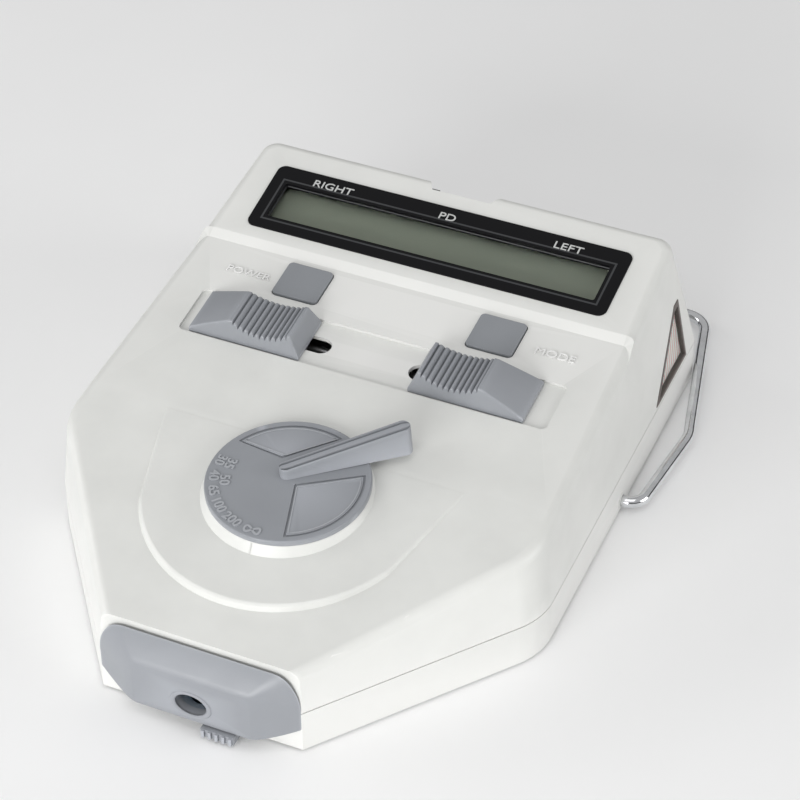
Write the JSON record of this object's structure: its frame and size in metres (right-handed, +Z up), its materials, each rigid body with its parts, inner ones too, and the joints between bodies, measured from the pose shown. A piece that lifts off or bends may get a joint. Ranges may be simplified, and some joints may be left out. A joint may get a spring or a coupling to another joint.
{
  "type": "digital pupillometer",
  "caption": "Hand-held optician's pupil distance meter: wedge-shaped housing with display, two eye sliders, distance dial, eyepiece, and a folding wire forehead rest.",
  "frame": {"origin": "on the table, under the middle of the whole instrument with its forehead rest folded", "axes": "+Z up, +Y towards the patient, +X towards the slider for the patient's left eye"},
  "size_m": [0.19, 0.2566, 0.0652],
  "materials": {
    "housing_plastic": "fine-textured moulded ABS, warm off-white",
    "grey_plastic": "fine-textured moulded ABS, bluish grey",
    "black_plastic": "glossy printed acrylic, black",
    "inner_plastic": "matt black moulding",
    "clear_pane": "clear acrylic",
    "optical_glass": "polished and coated",
    "lcd_glass": "reflective liquid crystal panel, grey-green",
    "circuit_board": "solder mask green",
    "steel": "ground",
    "brass": "turned",
    "chrome_wire": "polished chrome plate",
    "soft_rubber": "soft matt rubber",
    "gasket_rubber": "matt black rubber",
    "scale_card": "white printed card",
    "cell_jacket": "plain printed jacket",
    "lamp_lens": "frosted lamp body"
  },
  "bodies": {
    "housing": {"upper_housing": "housing_plastic", "lower_housing": "housing_plastic", "eyepiece_cap": "grey_plastic", "eyepiece_barrel": "inner_plastic", "eyepiece_lens": "optical_glass", "display_bezel": "black_plastic", "display_window": "clear_pane", "lcd_panel": "lcd_glass", "display_board": "circuit_board", "key_switches": "inner_plastic", "key_board": "circuit_board", "fixation_lamp": "lamp_lens", "guide_rods": "steel", "rail_brackets": "inner_plastic", "encoder_strips": "steel", "lens_rods": "steel", "optical_frame": "inner_plastic", "beam_splitter": "optical_glass", "right_eye_window": "clear_pane", "left_eye_window": "clear_pane", "nose_pad": "soft_rubber", "side_window_gaskets": "gasket_rubber", "side_window_panes": "clear_pane", "vertex_scales": "scale_card", "bail_bushes": "housing_plastic", "batteries": "cell_jacket", "battery_contacts": "steel", "housing_screws": "steel", "rubber_feet": "gasket_rubber"},
    "main_key": {"main_key": "grey_plastic"},
    "mode_key": {"mode_key": "grey_plastic"},
    "right_eye_slider": {"right_eye_knob": "grey_plastic", "right_eye_carriage": "inner_plastic", "right_eye_hairline": "steel"},
    "left_eye_slider": {"left_eye_knob": "grey_plastic", "left_eye_carriage": "inner_plastic", "left_eye_hairline": "steel"},
    "dial": {"distance_dial": "grey_plastic", "dial_lever": "grey_plastic", "dial_shaft": "brass", "dial_cam": "inner_plastic"},
    "focus": {"lens_carriage": "inner_plastic", "focus_lens": "optical_glass"},
    "selector": {"selector_tab": "grey_plastic", "selector_shutter": "inner_plastic"},
    "forehead_rest": {"forehead_bail": "chrome_wire", "bail_sleeve": "soft_rubber"},
    "battery_door": {"battery_cover": "housing_plastic"}
  },
  "joints": [
    {"name": "main_key_press", "type": "slide", "parent": "housing", "child": "main_key", "axis": [0, 0.1309, -0.9914], "range_m": [0, 0.0008], "stiffness_N_per_m": 300, "springref_m": -0.001},
    {"name": "mode_key_press", "type": "slide", "parent": "housing", "child": "mode_key", "axis": [0, 0.1309, -0.9914], "range_m": [0, 0.0008], "stiffness_N_per_m": 300, "springref_m": -0.001},
    {"name": "right_eye_slide", "type": "slide", "parent": "housing", "child": "right_eye_slider", "axis": [1, 0, 0], "range_m": [-0.0034, 0.0151]},
    {"name": "left_eye_slide", "type": "slide", "parent": "housing", "child": "left_eye_slider", "axis": [1, 0, 0], "range_m": [-0.011, 0.0075]},
    {"name": "dial_turn", "type": "hinge", "parent": "housing", "child": "dial", "pos_m": [0, -0.05688, 0.0459], "axis": [0, -0.0849, 0.9964], "range_deg": [0, 90]},
    {"name": "lens_focus", "type": "slide", "parent": "housing", "child": "focus", "axis": [0, 1, 0], "range_m": [0, 0.0072]},
    {"name": "selector_slide", "type": "slide", "parent": "housing", "child": "selector", "axis": [1, 0, 0], "range_m": [-0.0178, 0]},
    {"name": "forehead_rest_swing", "type": "hinge", "parent": "housing", "child": "forehead_rest", "pos_m": [0, 0.02063, 0.0043], "axis": [1, 0, 0], "range_deg": [0, 52]},
    {"name": "battery_door_slide", "type": "slide", "parent": "housing", "child": "battery_door", "axis": [0, 1, 0], "range_m": [0, 0.02]}
  ],
  "couplings": [
    {"joint": "lens_focus", "follows": "dial_turn", "m_per_rad": 0.0045}
  ]
}
